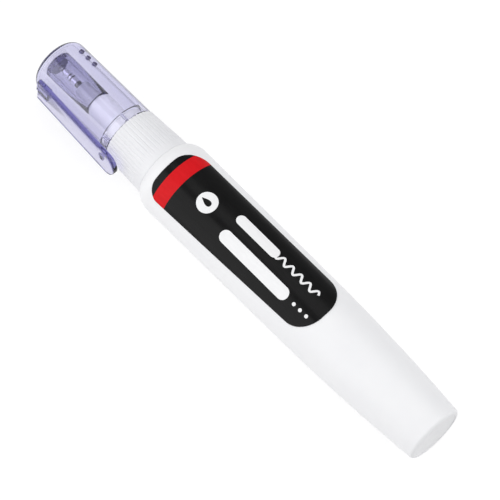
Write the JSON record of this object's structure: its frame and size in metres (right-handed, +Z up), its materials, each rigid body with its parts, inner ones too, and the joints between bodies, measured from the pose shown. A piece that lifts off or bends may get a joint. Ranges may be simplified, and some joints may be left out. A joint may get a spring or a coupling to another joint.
{
  "type": "correction pen",
  "caption": "Squeeze-bottle correction pen lying on its side, with a valve needle tip, a fluted collar, a panel label and a clear push-on cap with a clip.",
  "frame": {"origin": "centre of the tail's flat end face, on the pen's axis", "axes": "+X along the pen's axis, out of the tail face; the cap points to -X; +Z up as the pen lies on its side with the label on top; the clip is on the -Y side"},
  "size_m": [0.13, 0.0202, 0.0196],
  "materials": {
    "white_bottle": "soft white polyethylene, satin",
    "white_collar": "white polypropylene, satin",
    "black_print": "printed film, semi-gloss black",
    "clear_lavender": "clear lavender-tinted plastic, polished",
    "dark_seal": "soft dark violet seal",
    "grey_gasket": "soft grey gasket",
    "tip_metal": "nickel-plated turned metal",
    "steel": "bare steel",
    "natural_plastic": "natural polypropylene",
    "white_fluid": "opaque white liquid"
  },
  "bodies": {
    "pen": {"barrel": "white_bottle", "label": "black_print", "fluted_collar": "white_collar", "neck_gasket": "grey_gasket", "tip_holder": "white_collar", "metal_tip": "tip_metal", "return_spring": "steel", "valve_plug": "natural_plastic", "correction_fluid": "white_fluid"},
    "cap": {"cap_shell": "clear_lavender", "inner_sleeve": "clear_lavender", "tip_seal": "dark_seal"},
    "clip": {"cap_clip": "clear_lavender"},
    "needle": {"valve_needle": "steel", "needle_carrier": "natural_plastic"},
    "ball": {"mixing_ball": "steel"}
  },
  "joints": [
    {"name": "cap_pull", "type": "slide", "parent": "pen", "child": "cap", "axis": [-1, 0, 0], "range_m": [0, 0.045]},
    {"name": "clip_flex", "type": "hinge", "parent": "cap", "child": "clip", "pos_m": [-0.12582, -0.00819, 0.00174], "axis": [0, -0.2079, -0.9781], "range_deg": [0, 5], "stiffness_Nm_per_rad": 0.3},
    {"name": "needle_press", "type": "slide", "parent": "pen", "child": "needle", "axis": [1, 0, 0], "range_m": [0, 0.0005], "stiffness_N_per_m": 150, "deforming": ["return_spring"]},
    {"name": "ball_roll", "type": "slide", "parent": "pen", "child": "ball", "axis": [0.9996, 0, 0.0265], "range_m": [0, 0.07983]}
  ]
}
